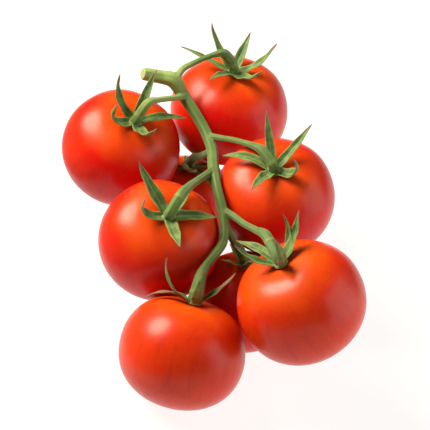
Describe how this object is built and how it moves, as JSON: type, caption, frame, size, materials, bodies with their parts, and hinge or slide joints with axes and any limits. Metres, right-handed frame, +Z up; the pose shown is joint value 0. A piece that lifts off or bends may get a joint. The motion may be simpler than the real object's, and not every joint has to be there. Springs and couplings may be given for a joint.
{
  "type": "truss of tomatoes",
  "caption": "Truss of ripe round tomatoes on a branched green stem, each fruit under a star of pointed sepals, lying at rest on its lowest fruits.",
  "frame": {"origin": "middle of the truss's bounding box, on the surface that it lies on", "axes": "+Z up from the surface; +Y along the stem towards its cut end; +X to the right, seen from the tip end with the cut end away"},
  "size_m": [0.1625, 0.2102, 0.1179],
  "materials": {
    "fruit_skin": "glossy, ripe red to orange-red",
    "stem_green": "matte light green, faintly ridged and downy",
    "sepal_green": "matte leaf green with paler rims and dry tips"
  },
  "bodies": {
    "root": {"stem": "stem_green", "tomato_1": "fruit_skin", "calyx_1": "sepal_green", "tomato_2": "fruit_skin", "calyx_2": "sepal_green", "tomato_3": "fruit_skin", "calyx_3": "sepal_green", "tomato_4": "fruit_skin", "calyx_4": "sepal_green", "tomato_5": "fruit_skin", "calyx_5": "sepal_green", "tomato_6": "fruit_skin", "calyx_6": "sepal_green", "tomato_7": "fruit_skin", "calyx_7": "sepal_green", "tomato_8": "fruit_skin", "calyx_8": "sepal_green"}
  },
  "joints": []
}
